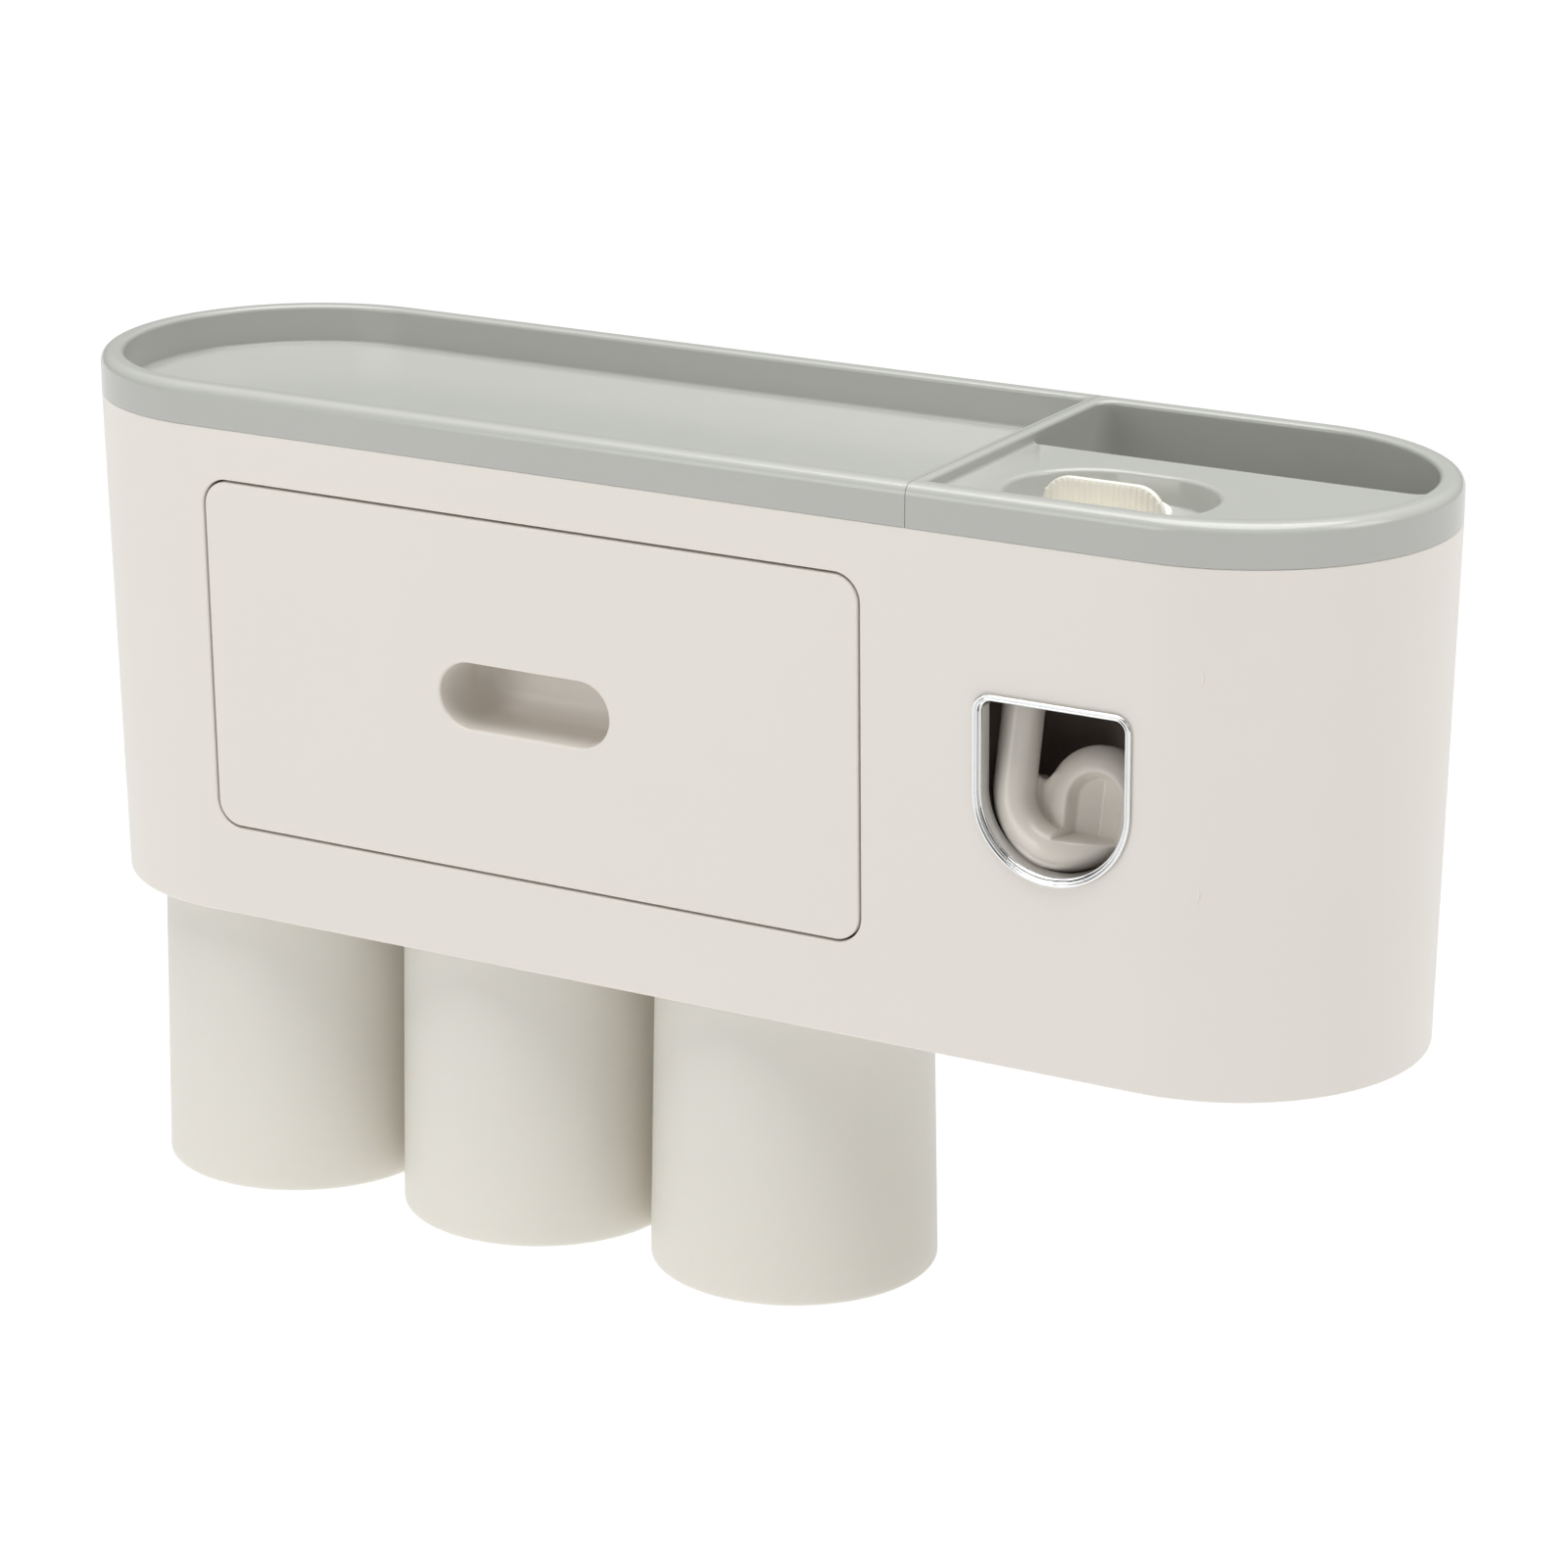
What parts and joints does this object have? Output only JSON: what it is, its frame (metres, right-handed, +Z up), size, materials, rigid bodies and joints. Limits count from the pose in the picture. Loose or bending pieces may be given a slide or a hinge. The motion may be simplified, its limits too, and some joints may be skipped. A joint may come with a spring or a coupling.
{
  "type": "toothbrush holder with toothpaste dispenser",
  "caption": "Wall-mounted toothbrush holder with a push-lever toothpaste dispenser, a drawer, trays on top and hanging rinse cups.",
  "frame": {"origin": "on the wall plane, midway between the screw holes of the two wall brackets", "axes": "+X along the wall to the right as seen from the front, +Y into the wall, +Z up"},
  "size_m": [0.34, 0.0963, 0.2006],
  "materials": {
    "white_plastic": "satin moulded",
    "grey_green_plastic": "satin moulded",
    "cream_plastic": "satin moulded",
    "ivory_plastic": "satin moulded",
    "dark_plastic": "satin moulded",
    "milky_plastic": "satin moulded",
    "chrome": "bright plated",
    "steel": "plain",
    "rubber": "matt",
    "foam": "closed-cell adhesive foam"
  },
  "bodies": {
    "wall_side": {"wall_brackets": "milky_plastic", "bracket_pads": "foam"},
    "holder": {"outer_shell": "white_plastic", "bottom_plate": "white_plastic", "bottom_screws": "steel", "brush_rack": "grey_green_plastic", "drawer_guides": "milky_plastic", "left_tray": "grey_green_plastic", "right_tray": "grey_green_plastic", "window_trim": "chrome", "dispenser_housing": "dark_plastic", "housing_screws": "steel", "pump_body": "milky_plastic", "pump_cap": "milky_plastic", "pump_screws": "steel", "lever_pin": "steel", "inlet_seal": "rubber", "inlet_valve": "rubber", "outlet_valve": "rubber", "nozzle": "milky_plastic", "return_spring": "steel", "seat_magnets": "steel", "magnet_caps": "white_plastic"},
    "drawer": {"drawer_front": "white_plastic", "drawer_box": "milky_plastic"},
    "lever": {"push_lever": "white_plastic"},
    "plunger": {"pump_plunger": "milky_plastic", "plunger_ring": "rubber"},
    "inlet_plug": {"inlet_cap": "ivory_plastic", "cap_ring": "rubber"},
    "left_cup": {"cup_left": "cream_plastic", "disc_left": "steel"},
    "middle_cup": {"cup_middle": "cream_plastic", "disc_middle": "steel"},
    "right_cup": {"cup_right": "cream_plastic", "disc_right": "steel"}
  },
  "joints": [
    {"name": "holder_lift", "type": "slide", "parent": "wall_side", "child": "holder", "axis": [0, 0, 1], "range_m": [0, 0.0105]},
    {"name": "drawer_slide", "type": "slide", "parent": "holder", "child": "drawer", "axis": [0, -1, 0], "range_m": [0, 0.06]},
    {"name": "lever_push", "type": "hinge", "parent": "holder", "child": "lever", "pos_m": [0.1014, -0.0785, 0.03], "axis": [1, 0, 0], "range_deg": [0, 15], "stiffness_Nm_per_rad": 0.01, "springref_deg": -2.86},
    {"name": "plunger_lift", "type": "slide", "parent": "holder", "child": "plunger", "axis": [0, 0, 1], "range_m": [0, 0.0065], "deforming": ["return_spring"]},
    {"name": "plug_lift", "type": "slide", "parent": "holder", "child": "inlet_plug", "axis": [0, 0, 1], "range_m": [0, 0.02]},
    {"name": "cup_left_pull", "type": "slide", "parent": "holder", "child": "left_cup", "axis": [0, 0, -1], "range_m": [0, 0.06]},
    {"name": "cup_middle_pull", "type": "slide", "parent": "holder", "child": "middle_cup", "axis": [0, 0, -1], "range_m": [0, 0.06]},
    {"name": "cup_right_pull", "type": "slide", "parent": "holder", "child": "right_cup", "axis": [0, 0, -1], "range_m": [0, 0.06]}
  ],
  "couplings": [
    {"joint": "lever_push", "follows": "plunger_lift", "rad_per_m": 40.16}
  ]
}
